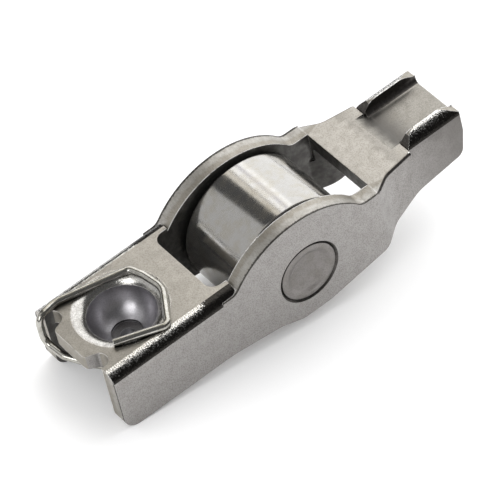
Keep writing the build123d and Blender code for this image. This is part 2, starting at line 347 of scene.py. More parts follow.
class Surface(Enum):
    """The finishes of the arm and its fittings."""

    WEB = Finish(
        "steel_web", (0.44, 0.417, 0.377), (0.38, 0.355, 0.31),
        stain_share=0.3, stain_size=1.0, roughness=0.36, grain=0.22, grain_depth=0.006,
        fleck=0.4, pits=0.15, rim_width=0.16,
        shaded=((15.6, 18.4, 0.35), (-33.0, -13.0, 0.42)),
    )
    PAD = Finish(
        "steel_pad", (0.335, 0.32, 0.287), (0.28, 0.262, 0.23),
        stain_size=1.2, roughness=0.36, grain=0.22, grain_depth=0.006,
        fleck=0.4, pits=0.15, shaded=((16.9, 22.6, 1.0),), shadow=(0.13, 0.124, 0.115),
    )
    WALL = Finish(
        "steel_wall", (0.415, 0.40, 0.386), (0.36, 0.342, 0.326),
        stain_size=1.6, roughness=0.4, grain=0.22, grain_depth=0.005,
        fleck=0.5, pits=0.12, shaded=((12.0, 62.0, 1.0),), shadow=(0.19, 0.18, 0.17),
    )
    EDGE = Finish(
        "steel_sheared", (0.50, 0.485, 0.455), (0.38, 0.355, 0.31),
        stain_share=0.45, stain_size=0.8, roughness=0.5, grain_depth=0.01,
        grain_stretch=(1.0, 0.3, 1.0), rim=1.3, rim_width=0.3, burr=0.95, bands=0.85,
    )
    # The bend's steep part carries a painted dark reflection.
    BEND = Finish(
        "steel_burnished", (0.80, 0.79, 0.76), (0.50, 0.49, 0.46),
        stain_share=0.2, stain_size=0.5, roughness=0.15, rough_spread=0.1,
        grain=0.2, grain_depth=0.03, pits=0.3, rim=0.2, burr=0.0, scale=1.0,
    )
    SEAT = Finish(
        "steel_seat", (0.47, 0.46, 0.48), (0.39, 0.38, 0.40),
        stain_share=0.3, stain_size=1.6, grain=0.2, grain_depth=0.003, corner_shade=0.45, burr=0.0,
    )
    LIP = Finish(
        "steel_lip", (0.54, 0.53, 0.505), (0.38, 0.365, 0.34),
        stain_share=0.45, stain_size=0.8, roughness=0.24, grain=0.22, grain_depth=0.012,
        pits=0.4,
    )
    # Painted shade: a dark finish for creases, the ears' inner faces and the bore's chamfer.
    CREASE = Finish(
        "steel_painted_dark", (0.12, 0.112, 0.105), (0.06, 0.055, 0.05),
        stain_share=0.6, stain_size=0.5, roughness=0.42, grain=0.18, grain_depth=0.01,
    )
    # Painted shade: the oil well is dark because its recess lies in shade.
    SHADED_WELL = Finish(
        "steel_shaded_well", (0.20, 0.195, 0.20), (0.13, 0.125, 0.13),
        stain_share=0.5, stain_size=0.8, roughness=0.4, grain=0.2, grain_depth=0.005,
    )
    # Painted shade: the inner faces are a darker copy of the wall's steel.
    SHADED_INNER = Finish(
        "steel_shaded_inner", (0.20, 0.195, 0.185), (0.12, 0.115, 0.11),
        stain_share=0.8, stain_size=0.9, roughness=0.45, grain=0.3, grain_depth=0.01, rim=1.2,
    )
    ROLLER = Finish(
        "steel_ground", (0.46, 0.452, 0.438), (0.42, 0.395, 0.34),
        stain_share=0.6, stain_size=1.3, metal=0.95, roughness=0.165, rough_spread=0.07,
        grain=0.09, grain_depth=0.0012, grain_stretch=(0.12, 3.0, 0.12), fleck=0.16,
        rim=0.8, rim_width=0.25,
    )
    # The pin's strong corner shade paints the dark ring of shade round its end.
    PIN = Finish(
        "steel_pin", (0.27, 0.255, 0.245), (0.22, 0.205, 0.185),
        stain_share=0.5, stain_size=1.4, roughness=0.36, grain=0.2, corner_shade=1.6, rim=0.6,
    )
    NEEDLE = Finish(
        "steel_needle", (0.55, 0.55, 0.54), (0.45, 0.44, 0.42),
        roughness=0.16, grain=0.1, grain_depth=0.001, fleck=0.05,
    )
    WIRE = Finish(
        "steel_wire", (0.58, 0.57, 0.53), (0.30, 0.28, 0.23),
        stain_share=0.5, stain_size=1.2, roughness=0.2, grain=0.12, grain_depth=0.003, rim=0.4,
    )


@dataclass(frozen=True)
class WearAndPaintedLight:
    """Marks that all finishes share: wear, stains and grain, and painted shade, highlight and
    reflection.

    A pair of limits says where a mark starts to show and where it is full.

    Attributes:
        edge: Cosine between the rounded and the sharp surface where an edge is brightened.
        edge_size: Width of the gaps in the wear along an edge.
        edge_gaps: Limits of the noise that leaves those gaps.
        edge_cover: How fully the brightened edges show.
        patches: Limits of the noise behind the patches.
        corner: Openness of a corner where shade is painted.
        shade_reach: How far the painted shade reaches out of a corner.
        corner_shade_color: Color of the painted shade in corners and along the burr.
        bands: Distance from the arm's middle where a sheared edge turns smooth.
        bands_fray: How far the grain frays that line.
        burr: Distance from the arm's middle where the burr runs, painted with a dark reflection.
        burr_fray: How far the grain frays the burr.
        burr_dark_reflection: How dark the painted reflection along the burr is.
        fleck: Limits of the noise behind the finest marks.
        fleck_size: Width of a fleck, as a share of the grain.
        pits: Limits of the noise behind the pits.
        pit_size: Width of a pit, as a share of the grain.
        pit_cover: How dark a pit is.
        pit_rough: How much rougher a pit is.
        deep: Brightness of pits and flecks, as a share of the stain's.
        shade_fray: How far the patches fray the soft bands along the arm.
        scale: How far up a bend's surface looks where the painted dark reflection starts.
        dark_reflection_color: Color of that painted reflection.
        scale_size: Width of the gaps in the painted reflection.
        dark_reflection_fray: How far those gaps fray its edge.
        dark_reflection_rough: How much rougher the surface is under the painted reflection.
        dark_reflection_run: Stretch along the arm over which the painted reflection takes the
            whole bend.
        dark_reflection_stop: Distance past that stretch where it stops.
        dark_reflection_rise: How much higher it climbs there.
    """

    edge: Pair = (0.97, 0.88)
    edge_size: float = 0.6
    edge_gaps: Pair = (0.28, 0.5)
    edge_cover: float = 0.8
    patches: Pair = (0.36, 0.68)
    corner: Pair = (0.62, 0.12)
    shade_reach: float = 0.7
    corner_shade_color: Rgb = (0.035, 0.032, 0.028)
    bands: Pair = (6.5, 7.1)
    bands_fray: float = 0.5
    burr: Pair = (7.68, 7.84)
    burr_fray: float = 0.35
    burr_dark_reflection: float = 0.85
    fleck: Pair = (0.62, 0.3)
    fleck_size: float = 0.75
    pits: Pair = (0.62, 0.72)
    pit_size: float = 1.6
    pit_cover: float = 0.6
    pit_rough: float = 0.1
    deep: float = 0.45
    shade_fray: float = 0.5
    scale: Pair = (0.87, 0.79)
    dark_reflection_color: Rgb = (0.045, 0.042, 0.038)
    scale_size: float = 0.17
    dark_reflection_fray: float = 1.15
    dark_reflection_rough: float = 0.12
    dark_reflection_run: Pair = (-15.5, -12.8)
    dark_reflection_stop: Pair = (4.0, 3.9)
    dark_reflection_rise: float = 0.45


WEAR_AND_LIGHT = WearAndPaintedLight()


class SteelShader:
    """The procedural material of one steel finish.

    Attributes:
        look: Values of the finish.
        material: The material.
        net: Its node tree.
        place: Coordinates on the part, in metres.
        drawn: The same coordinates, stretched along the grain.
    """

    def __init__(self, look: Finish) -> None:
        """Start the material.

        Args:
            look: Values of the finish.
        """
        self.look = look
        self.material = bpy.data.materials.new(look.name)
        self.material.use_nodes = True
        self.net = Net(self.material.node_tree)
        self.place = self.net.add("ShaderNodeTexCoord").outputs["Object"]
        self.drawn = self.net.add(
            "ShaderNodeVectorMath",
            {"operation": "MULTIPLY"},
            {0: self.place, 1: look.grain_stretch},
        ).outputs[0]

    def noise(self, vector: Any, size: float, detail: float = 3.0) -> Num:
        """Sample noise whose features have a real size.

        Args:
            vector: Coordinates in metres.
            size: Width of a feature.
            detail: Octaves of finer noise.

        Returns:
            The noise, about 0.5 on average.
        """
        inputs = {"Vector": vector, "Scale": 1.0 / (size * MM), "Detail": detail}
        node = self.net.add("ShaderNodeTexNoise", {"noise_dimensions": "3D"}, inputs)
        return Num(self.net, node.outputs[0])

    def mixed(self, share: Num, first: Any, second: Any) -> bpy.types.NodeSocket:
        """Mix two colours.

        Args:
            share: Share of the second colour.
            first: Colour or socket.
            second: Colour or socket.

        Returns:
            Output socket of the mixed colour.
        """
        colors = {}
        for key, value in (("A_Color", first), ("B_Color", second)):
            colors[key] = (*value, 1.0) if isinstance(value, tuple) else value
        inputs = {"Factor_Float": share, **colors}
        node = self.net.add("ShaderNodeMix", {"data_type": "RGBA"}, inputs)
        return next(s for s in node.outputs if s.identifier == "Result_Color")

    def worn_highlight(self) -> tuple[Num, bpy.types.NodeSocket]:
        """Find the edges with wear, which are brightened partly as painted highlight.

        Returns:
            How bright the edge is, from 0 to 1, and its rounded-off normal.
        """
        radius = {"Radius": self.look.rim_width * MM}
        bevel = self.net.add("ShaderNodeBevel", {"samples": 6}, radius)
        plain = self.net.add("ShaderNodeNewGeometry")
        cosine = self.net.add(
            "ShaderNodeVectorMath",
            {"operation": "DOT_PRODUCT"},
            {0: bevel.outputs[0], 1: plain.outputs["Normal"]},
        )
        edges = Num(self.net, cosine.outputs["Value"]).ramp(*WEAR_AND_LIGHT.edge)
        gaps = self.noise(self.place, WEAR_AND_LIGHT.edge_size, 2.0).ramp(*WEAR_AND_LIGHT.edge_gaps)
        return edges * gaps, bevel.outputs[0]

    def painted_shade(self) -> Num:
        """Find the corners where shade is painted, by ambient occlusion.

        Returns:
            How dark the painted shade is; it may pass 1.
        """
        reach = {"Distance": WEAR_AND_LIGHT.shade_reach * MM}
        corner = self.net.add("ShaderNodeAmbientOcclusion", {"samples": 6}, reach)
        return Num(self.net, corner.outputs["AO"]).ramp(*WEAR_AND_LIGHT.corner) * self.look.corner_shade

    def parts(self, vector: Any) -> list[Num]:
        """Take a vector apart.

        Args:
            vector: Coordinates or a direction.

        Returns:
            Its parts along X, Y and Z.
        """
        axes = self.net.add("ShaderNodeSeparateXYZ", inputs={0: vector})
        return [Num(self.net, part) for part in axes.outputs]

    def along(self) -> Num:
        """Find the place along the arm.

        Returns:
            Distance from the axle, towards the valve end.
        """
        x, _, z = self.parts(self.place)
        cosine, sine = ARM.lean
        return (x * cosine + z * sine) / MM - ARM.reach

    def facing(self) -> Num:
        """Find how the surface lies to the web.

        Returns:
            1 where it is level with the web and 0 where it is square to it.
        """
        normal = self.net.add("ShaderNodeNewGeometry").outputs["Normal"]
        x, _, z = self.parts(normal)
        cosine, sine = ARM.lean
        return z * cosine - x * sine

    def sheared(self, grain: Num) -> tuple[Num, Num]:
        """Find the two zones of a sheared edge.

        Args:
            grain: Noise that frays them.

        Returns:
            The banded zone, and the burr along the sheet's outer face where a dark reflection is
            painted.
        """
        depth = abs(self.parts(self.place)[1]) / MM
        smooth_zone = (depth + (grain - 0.5) * WEAR_AND_LIGHT.bands_fray).ramp(*WEAR_AND_LIGHT.bands)
        burr = (depth + (grain - 0.5) * WEAR_AND_LIGHT.burr_fray).ramp(*WEAR_AND_LIGHT.burr)
        return 1.0 - smooth_zone, burr

    def dark_reflected(self) -> Num:
        """Find where a dark reflection is painted on the bends, from how far the surface looks
        up.

        Returns:
            How strong the painted reflection is, from 0 to 1.
        """
        along = self.along()
        start, end = WEAR_AND_LIGHT.dark_reflection_run
        stop = (end + distance for distance in WEAR_AND_LIGHT.dark_reflection_stop)
        whole = along.ramp(start, end) * along.ramp(*stop)
        speckle = self.noise(self.place, WEAR_AND_LIGHT.scale_size) - 0.5
        facing = self.facing() + speckle * WEAR_AND_LIGHT.dark_reflection_fray - whole * WEAR_AND_LIGHT.dark_reflection_rise
        return (facing.ramp(*WEAR_AND_LIGHT.scale) * self.look.scale).unit()

    def shade(self, patches: Num) -> Num:
        """Find the soft bands of painted shade across the sheet.

        Args:
            patches: Noise that frays the bands.

        Returns:
            How dark the painted shade is, from 0 to 1.
        """
        along = self.along() + (patches - 0.5) * WEAR_AND_LIGHT.shade_fray
        bands = []
        for start, end, strength in self.look.shaded:
            fade = (end - start) / 3
            band = along.ramp(start, start + fade) * along.ramp(end, end - 2 * fade)
            bands.append(band * strength)
        return sum(bands[1:], bands[0]).unit()

    def build(self) -> bpy.types.Material:
        """Build the material.

        Returns:
            The new material.
        """
        look = self.look
        worn_highlight, rounded_off = self.worn_highlight()
        # Painted shade: corners and recesses are darkened by ambient occlusion.
        painted_shade = self.painted_shade()
        patches = self.noise(self.place, look.stain_size).ramp(*WEAR_AND_LIGHT.patches)
        grain = self.noise(self.drawn, look.grain, 2.0)
        tint = patches * look.stain_share
        if look.bands:
            # Along the burr the edge brightening is cut and a dark reflection is painted.
            banded, burr = self.sheared(grain)
            tint = tint + banded * look.bands
            worn_highlight = worn_highlight * (1.0 - burr)
            painted_shade = painted_shade + burr * WEAR_AND_LIGHT.burr_dark_reflection
        color = self.mixed(tint.unit(), look.color, look.stain)
        if look.shaded:
            color = self.mixed(self.shade(patches), color, look.shadow)
        deep = tuple(WEAR_AND_LIGHT.deep * c for c in look.stain)
        fine = self.noise(self.drawn, look.grain * WEAR_AND_LIGHT.fleck_size, 2.0)
        color = self.mixed(fine.ramp(*WEAR_AND_LIGHT.fleck) * look.fleck, color, deep)
        height = grain
        roughness = (patches - 0.5) * look.rough_spread + look.roughness
        if look.pits:
            pit = self.noise(self.place, look.grain * WEAR_AND_LIGHT.pit_size, 1.0)
            pit = pit.ramp(*WEAR_AND_LIGHT.pits) * look.pits
            color = self.mixed((pit * WEAR_AND_LIGHT.pit_cover).unit(), color, deep)
            height = height - pit
            roughness = roughness + pit * WEAR_AND_LIGHT.pit_rough
        # Painted reflection: the steeper part of a bend is darkened by the way it faces.
        if look.scale:
            dark = self.dark_reflected()
            color = self.mixed(dark, color, WEAR_AND_LIGHT.dark_reflection_color)
            roughness = roughness + dark * WEAR_AND_LIGHT.dark_reflection_rough
        # Edges with wear are brightened, partly as painted highlight along the rims.
        worn_highlight_color = tuple(min(1.0, c * (1 + look.rim)) for c in look.color)
        # Mix in the painted shade of the corners and of the burr.
        color = self.mixed(painted_shade.unit(), color, WEAR_AND_LIGHT.corner_shade_color)
        color = self.mixed((worn_highlight * WEAR_AND_LIGHT.edge_cover).unit(), color, worn_highlight_color)
        relief = {
            "Strength": 1.0, "Distance": look.grain_depth * MM,
            "Height": height, "Normal": rounded_off,
        }
        steel = {
            "Base Color": color,
            "Metallic": (1.0 - worn_highlight * look.burr) * look.metal if look.burr else look.metal,
            "Roughness": roughness.unit(),
            "Normal": self.net.add("ShaderNodeBump", inputs=relief).outputs[0],
        }
        surface = self.net.add("ShaderNodeBsdfPrincipled", inputs=steel).outputs[0]
        self.net.add("ShaderNodeOutputMaterial", inputs={"Surface": surface})
        return self.material


class Finishes:
    """Materials that have been built so far, one to a finish."""

    def __init__(self) -> None:
        """Start with none."""
        self.built: dict[Surface, bpy.types.Material] = {}

    def __getitem__(self, surface: Surface) -> bpy.types.Material:
        """Build a surface's material on first use.

        Args:
            surface: Surface to finish.

        Returns:
            Its material.
        """
        if surface not in self.built:
            self.built[surface] = SteelShader(surface.value).build()
        return self.built[surface]


# -------------------------------------------------------------------- meshes
def link(name: str, mesh: bpy.types.Mesh) -> bpy.types.Object:
    """Put a mesh into the scene at the origin.

    Args:
        name: Name of the object.
        mesh: Its mesh.

    Returns:
        The new object.
    """
    thing = bpy.data.objects.new(name, mesh)
    bpy.context.scene.collection.objects.link(thing)
    return thing


def smooth(mesh: bpy.types.Mesh, angle: float) -> None:
    """Shade a mesh smooth, apart from its sharper edges.

    Args:
        mesh: Mesh to shade.
        angle: Least angle of a sharp edge, in degrees.
    """
    mesh.polygons.foreach_set("use_smooth", [True] * len(mesh.polygons))
    mesh.set_sharp_from_angle(angle=math.radians(angle))


def baked(thing: bpy.types.Object) -> bpy.types.Mesh:
    """Apply an object's modifiers and remove them.

    Args:
        thing: Object with modifiers.

    Returns:
        Its new mesh.
    """
    graph = bpy.context.evaluated_depsgraph_get()
    mesh = bpy.data.meshes.new_from_object(thing.evaluated_get(graph))
    thing.modifiers.clear()
    thing.data = mesh
    return mesh


class Former:
    """A Geometry Nodes group that forms a mesh into a steel piece."""

    def __init__(self, name: str, source: str, sizes: Mapping[str, str], result: str) -> None:
        """Open the group with its named inputs.

        Args:
            name: Name of the group.
            source: Name of the mesh that goes in.
            sizes: Type of each size, by name: Int or Float.
            result: Name of the mesh that comes out.
        """
        self.tree = bpy.data.node_groups.new(name, "GeometryNodeTree")
        kinds = {source: "Geometry", **sizes, "Steel": "Material"}
        for key, kind in kinds.items():
            self.tree.interface.new_socket(key, in_out="INPUT", socket_type=f"NodeSocket{kind}")
        self.tree.interface.new_socket(
            result, in_out="OUTPUT", socket_type="NodeSocketGeometry"
        )
        self.net = Net(self.tree)
        self.given = self.net.add("NodeGroupInput").outputs

    def add(self, kind: str, **inputs: Any) -> bpy.types.NodeSocket:
        """Add one geometry node.

        Args:
            kind: Blender's name for the node, without GeometryNode.
            **inputs: Values or sockets by input name, with _ for each space.

        Returns:
            The node's first output.
        """
        named = {key.replace("_", " "): value for key, value in inputs.items()}
        return self.net.add(f"GeometryNode{kind}", inputs=named).outputs[0]

    def close(self, shape: bpy.types.NodeSocket) -> None:
        """Make the shape real, give it its steel and let it out.

        Args:
            shape: Finished geometry.
        """
        real = self.add("RealizeInstances", Geometry=shape)
        steel = self.add("SetMaterial", Geometry=real, Material=self.given["Steel"])
        self.net.add("NodeGroupOutput", inputs={0: steel})

    def run(self, thing: bpy.types.Object, values: Mapping[str, Any]) -> bpy.types.Mesh:
        """Form an object's mesh and bake the result.

        Args:
            thing: Object whose mesh goes in.
            values: Value of each input, by name.

        Returns:
            The formed mesh.
        """
        modifier = thing.modifiers.new(self.tree.name, "NODES")
        modifier.node_group = self.tree
        for item in self.tree.interface.items_tree:
            if item.name in values:
                modifier[item.identifier] = values[item.name]
        return baked(thing)


@dataclass
class Lathe:
    """A body of revolution about the roller's axle.

    Attributes:
        profile: Closed outline as pairs of radius and place along the axle.
        segments: Steps round the axle.
    """

    profile: Sequence[Pair]
    segments: int = 192

    def mesh(self, name: str) -> bpy.types.Mesh:
        """Spin the outline.

        Args:
            name: Name of the mesh.

        Returns:
            A closed mesh in the row frame.
        """
        rings = len(self.profile)
        vertices, faces = [], []
        for step in range(self.segments):
            angle = 2 * math.pi * step / self.segments
            for radius, along in self.profile:
                place = (radius * math.cos(angle), along, radius * math.sin(angle))
                vertices.append(ARM.to_row @ Vector(place))
        for step in range(self.segments):
            after = (step + 1) % self.segments
            for ring in range(rings):
                beside = (ring + 1) % rings
                corners = (step * rings + ring, step * rings + beside)
                others = (after * rings + beside, after * rings + ring)
                faces.append(corners + others)
        mesh = bpy.data.meshes.new(name)
        mesh.from_pydata(vertices, [], faces)
        work = bmesh.new()
        work.from_mesh(mesh)
        bmesh.ops.remove_doubles(work, verts=work.verts, dist=1e-7)
        bmesh.ops.recalc_face_normals(work, faces=work.faces)
        work.to_mesh(mesh)
        work.free()
        return mesh


def rounded(corner: Pair, radius: float, start: float, steps: int = 6) -> list[Pair]:
    """Round a corner of a lathe outline with a quarter circle.

    Args:
        corner: The sharp corner, as radius and place along the axle.
        radius: Radius of the rounding.
        start: Direction of the arc's end from its centre, in degrees.
        steps: Steps along the arc.

    Returns:
        The points of the arc, the one at start last.
    """
    middle = math.radians(start + 45)
    centre_r = corner[0] - math.copysign(radius, math.cos(middle))
    centre_y = corner[1] - math.copysign(radius, math.sin(middle))
    points = []
    for step in range(steps, -1, -1):
        angle = math.radians(start + 90 * step / steps)
        points.append((centre_r + radius * math.cos(angle), centre_y + radius * math.sin(angle)))
    return points


# -------------------------------------------------------------------- pieces
@dataclass
class Piece:
    """Something that is dressed and tied to the CAD frame.

    Attributes:
        finishes: Materials shared by all pieces.
    """

    finishes: Finishes

    def tie(
        self, thing: bpy.types.Object, body: str, nodes: Iterable[str], slot: str
    ) -> bpy.types.Object:
        """Let an object stand for CAD nodes and move with their body.

        Args:
            thing: The dressed object.
            body: CAD body that carries it.
            nodes: CAD nodes that it stands for.
            slot: Material slot of the record; not used.

        Returns:
            The same object.
        """
        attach(thing, body)
        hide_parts(*nodes)
        return thing

    def turned(self, name: str, lathe: Lathe, surface: Surface, angle: float) -> bpy.types.Object:
        """Turn a steel body on the lathe.

        Args:
            name: Name of the object and its mesh.
            lathe: Outline of the body.
            surface: Its finish.
            angle: Least angle of a sharp edge, in degrees.

        Returns:
            The new object.
        """
        mesh = lathe.mesh(name)
        mesh.materials.append(self.finishes[surface])
        smooth(mesh, angle)
        return link(name, mesh)


class Faces:
    """The faces of the arm in its own frame, as arrays with one entry to a face.

    Attributes:
        x: Place along the arm, from the axle.
        z: Height above the axle.
        off: Distance from the middle of the arm.
        nx: How far the face looks along the arm.
        nz: How far it looks up.
        out: How far it looks away from the middle of the arm.
        reach: Distance from the upright axis of the ball socket.
        inward: How far the face looks towards that axis.
    """

    def __init__(self, mesh: bpy.types.Mesh) -> None:
        """Measure the faces.

        Args:
            mesh: The arm in the row frame.
        """
        count = len(mesh.polygons)
        centre, normal = np.empty(count * 3), np.empty(count * 3)
        mesh.polygons.foreach_get("center", centre)
        mesh.polygons.foreach_get("normal", normal)
        self.x, y, self.z = ARM.points(centre.reshape(-1, 3)).T
        self.nx, ny, self.nz = ARM.directions(normal.reshape(-1, 3)).T
        self.off = np.abs(y)
        self.out = ny * np.where(y < 0, -1.0, 1.0)
        from_ball = self.x + ARM.reach
        self.reach = np.hypot(from_ball, y)
        self.inward = -(self.nx * from_ball + ny * y) / np.maximum(self.reach, 1e-6)


Marks = Iterator[tuple[Surface, np.ndarray]]


@dataclass
class ArmShell(Piece):
    """The pressed steel arm, with each of its faces given the right finish.

    Attributes:
        web_top: Height of the pivot end's web.
        valve_top: Height of the valve end's web.
        pad_top: Height of the valve pad.
        pad_half: Half the width of the pad.
        neck_half: Half the width of the valve end's web.
        outer_half: Half the width over the walls.
        sheet: Height of the web's cut edges.
        fold: Width of the bend between web and wall.
        inner_line: Where the walls turn in: place along X and half-width inside.
        window: Limits of the roller's window along X.
        step: Place along X where the step down to the pad begins.
        ears: Place along X where the guide ears begin.
        ball_radius: Radius of the ball seat.
        lip_radius: Radius of the seat's mouth.
        seat_heights: Limits of the seat's height.
        lip_floor: Height where the mouth begins to flare.
        well_radius: Radius of the oil well in the seat's floor.
        well_top: Height of the well's brim.
        bore: Radius of the pin's bore.
        slack: Play given to a limit that faces lie on.
        order: Finishes in the order of the material slots.
    """

    web_top: float = 5.33
    valve_top: float = 4.45
    pad_top: float = 3.9
    pad_half: float = 3.56
    neck_half: float = 6.4
    outer_half: float = 8.05
    sheet: float = 2.3
    fold: float = 1.85
    inner_line: tuple[Pair, ...] = ((11.6, 5.85), (14.2, 4.2), (18.6, 3.53))
    window: Pair = (-12.3, 11.7)
    step: float = 17.2
    ears: float = 18.4
    ball_radius: float = 4.4
    lip_radius: float = 6.12
    seat_heights: Pair = (-2.3, 4.75)
    lip_floor: float = 3.2
    well_radius: float = 2.0
    well_top: float = 1.3
    bore: float = 4.1
    slack: float = 0.02
    order: tuple[Surface, ...] = (
        Surface.SHADED_INNER, Surface.WEB, Surface.PAD, Surface.WALL, Surface.EDGE,
        Surface.BEND, Surface.SEAT, Surface.LIP, Surface.CREASE, Surface.SHADED_WELL,
    )

    def sides(self, at: Faces) -> Marks:
        """Find the sheared edges and the walls.

        Args:
            at: Faces of the arm.

        Returns:
            Pairs of a finish and the faces that have it.
        """
        inner = self.inside(at)
        sideways = np.abs(at.out)
        # Cut edges of the walls: within the sheet, looking along or up.
        yield Surface.EDGE, (sideways < 0.35) & (at.off > inner - 1e-3)
        # Cut edges of the web: upright faces at its ends and round the notches.
        upright = (np.abs(at.nz) < 0.4) & (sideways < 0.8)
        beyond = (at.x < self.window[0] + 0.6) | (at.x > self.window[1] + 0.6)
        clear = (at.reach > self.lip_radius + 0.3) & (at.off <= inner)
        yield Surface.EDGE, upright & beyond & clear & (at.z > self.valve_top - self.sheet)
        yield Surface.WALL, at.out > 0.75

    def folds(self, at: Faces) -> Marks:
        """Find the bends between web, walls and ears.

        Args:
            at: Faces of the arm.

        Returns:
            Pairs of a finish and the faces that have it.
        """
        folded = (at.nz > 0.03) & (at.out > 0.03) & (at.z > self.pad_top) & (at.nx < 0.9)
        outer = at.off > self.inside(at)
        # The bend beside the socket and the rolled ears are burnished down to a steep slope.
        wide = (at.x < self.window[0]) & (at.off > self.outer_half - self.fold) & (at.nz > 0.28)
        rolled = (at.x > self.ears) & outer & (at.nz > 0.33)
        yield Surface.BEND, folded & (wide | rolled) & (at.out < 0.999)
        # The tight bend of the neck and the ends of the ears get painted shade.
        neck = (at.x > self.window[1] + 0.7) & (at.x < self.ears) & outer
        yield Surface.CREASE, folded & neck & (at.nz > 0.3) & (at.nz < 0.88)
        start = (at.x > self.ears - 1) & (at.x < self.ears + 2) & (at.z > self.pad_top - 0.5)
        yield Surface.CREASE, start & (at.nx < -0.5)

    def flats(self, at: Faces) -> Marks:
        """Find the web, the pad and the dark faces beside them.

        Args:
            at: Faces of the arm.

        Returns:
            Pairs of a finish and the faces that have it.
        """
        for top, part in (
            (self.web_top, at.x < self.window[0]),
            (self.valve_top, (at.x > self.window[1]) & (at.off < self.neck_half)),
        ):
            yield Surface.WEB, part & (at.nz > 0.985) & (np.abs(at.z - top) < 0.03)
        low = (at.z > self.pad_top - 0.05) & (at.z < self.valve_top) & (at.nz > 0.3)
        yield Surface.PAD, low & (at.x > self.step) & (at.off < self.pad_half)
        # The ears' inner faces and the chamfer of the pin's bore get painted shade.
        beside = (at.x > self.ears) & (at.z > self.pad_top) & (at.off < self.outer_half)
        yield Surface.CREASE, beside & (at.out < -0.3)
        chamfer = np.hypot(at.x, at.z) < self.bore + 0.6
        yield Surface.CREASE, chamfer & (at.out > 0.1) & (at.out < 0.98)

    def cup(self, at: Faces) -> Marks:
        """Find the ball socket's seat, mouth, well and oil hole.

        Args:
            at: Faces of the arm.

        Returns:
            Pairs of a finish and the faces that have it.
        """
        floor, top = self.seat_heights
        inside = (at.inward > 0.1) | (at.nz > 0.5)
        seat = (at.reach < self.ball_radius + self.slack) & (at.z > floor) & (at.z < top)
        yield Surface.SEAT, inside & seat
        sunk = (at.z > floor) & (at.z < self.well_top)
        # The well is darkened with painted shade.
        yield Surface.SHADED_WELL, sunk & (at.reach < self.well_radius + self.slack)
        yield Surface.SEAT, sunk & (at.reach < self.well_radius / 2)
        flare = (at.reach > self.ball_radius - self.slack)
        flare &= at.reach < self.lip_radius + self.slack
        yield Surface.LIP, inside & flare & (at.z > self.lip_floor) & (at.z < self.web_top - 1e-3)

    def inside(self, at: Faces) -> np.ndarray:
        """Half-width between the walls beside each face."""
        return np.interp(at.x, *zip(*self.inner_line))

    def surfaces(self, mesh: bpy.types.Mesh) -> np.ndarray:
        """Decide which finish each face has; a later mark covers an earlier one.

        Args:
            mesh: Merged mesh of the arm.

        Returns:
            Number of the finish in `order`, for each face.
        """
        at = Faces(mesh)
        # Faces that no mark finds keep the first finish, the inner steel with painted shade.
        found = np.zeros(len(at.x), int)
        for marks in (self.sides(at), self.folds(at), self.flats(at), self.cup(at)):
            for surface, where in marks:
                found[where] = self.order.index(surface)
        return found

    def build(self) -> list[bpy.types.Object]:
        """Dress the arm.

        Returns:
            The dressed arm.
        """
        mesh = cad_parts["arm_body"].data.copy()
        mesh.name = "arm_shell"
        mesh.materials.clear()
        work = bmesh.new()
        work.from_mesh(mesh)
        bmesh.ops.remove_doubles(work, verts=work.verts, dist=2e-6)
        bmesh.ops.dissolve_degenerate(work, edges=work.edges, dist=1e-7)
        work.to_mesh(mesh)
        work.free()
        if mesh.has_custom_normals:
            mesh.attributes.remove(mesh.attributes["custom_normal"])
        for surface in self.order:
            mesh.materials.append(self.finishes[surface])
        mesh.polygons.foreach_set("material_index", self.surfaces(mesh))
        smooth(mesh, angle=24)
        thing = link("arm_shell", mesh)
        weighted = thing.modifiers.new("flat_faces", "WEIGHTED_NORMAL")
        weighted.keep_sharp = True
        weighted.weight = 100
        baked(thing)
        return [self.tie(thing, "arm", ["arm_body"], "pressed_steel")]


